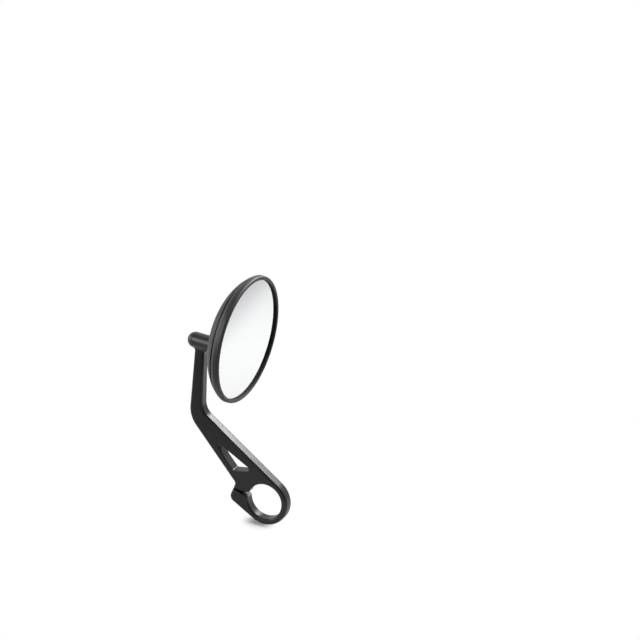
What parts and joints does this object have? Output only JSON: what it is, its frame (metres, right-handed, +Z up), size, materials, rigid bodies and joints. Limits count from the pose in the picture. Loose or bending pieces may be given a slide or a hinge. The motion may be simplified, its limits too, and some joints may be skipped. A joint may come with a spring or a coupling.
{
  "type": "bar end mirror",
  "caption": "Round mirror for a handlebar end: slotted clamp ring on a cranked arm with a triangular window, and a domed head with convex glass that turns on a ball joint.",
  "frame": {"origin": "centre of the clamp's bore, on the handlebar's axis and in the arm's middle plane", "axes": "+Y along the bar towards the grip, +Z up, +X the way the glass faces at rest"},
  "size_m": [0.0753, 0.0762, 0.1511],
  "materials": {
    "black_anodised": "satin black anodised over milled metal",
    "black_steel": "black oxide",
    "bright_steel": "plain turned steel",
    "nylon": "natural nylon",
    "mirror_glass": "polished, silvered behind",
    "foam": "closed-cell foam"
  },
  "bodies": {
    "arm": {"arm": "black_anodised", "pinch_bolt": "black_steel", "pinch_washer": "black_steel", "ball_stud": "bright_steel"},
    "rear_liner": {"rear_liner": "nylon"},
    "front_liner": {"front_liner": "nylon"},
    "head": {"back_shell": "black_anodised", "bezel_ring": "black_anodised", "mirror_glass": "mirror_glass", "glass_pad": "foam", "ball_retainer": "bright_steel", "retainer_screws": "bright_steel", "spring_washers": "bright_steel"}
  },
  "joints": [
    {"name": "head_turn", "type": "hinge", "parent": "arm", "child": "rear_liner", "pos_m": [-0.03387, 0, 0.0886], "axis": [1, 0, 0], "continuous": true},
    {"name": "head_pan", "type": "hinge", "parent": "rear_liner", "child": "front_liner", "pos_m": [-0.03387, 0, 0.0886], "axis": [0, 0, 1], "range_deg": [-12, 12]},
    {"name": "head_tilt", "type": "hinge", "parent": "front_liner", "child": "head", "pos_m": [-0.03387, 0, 0.0886], "axis": [0, 1, 0], "range_deg": [-12, 12]}
  ]
}
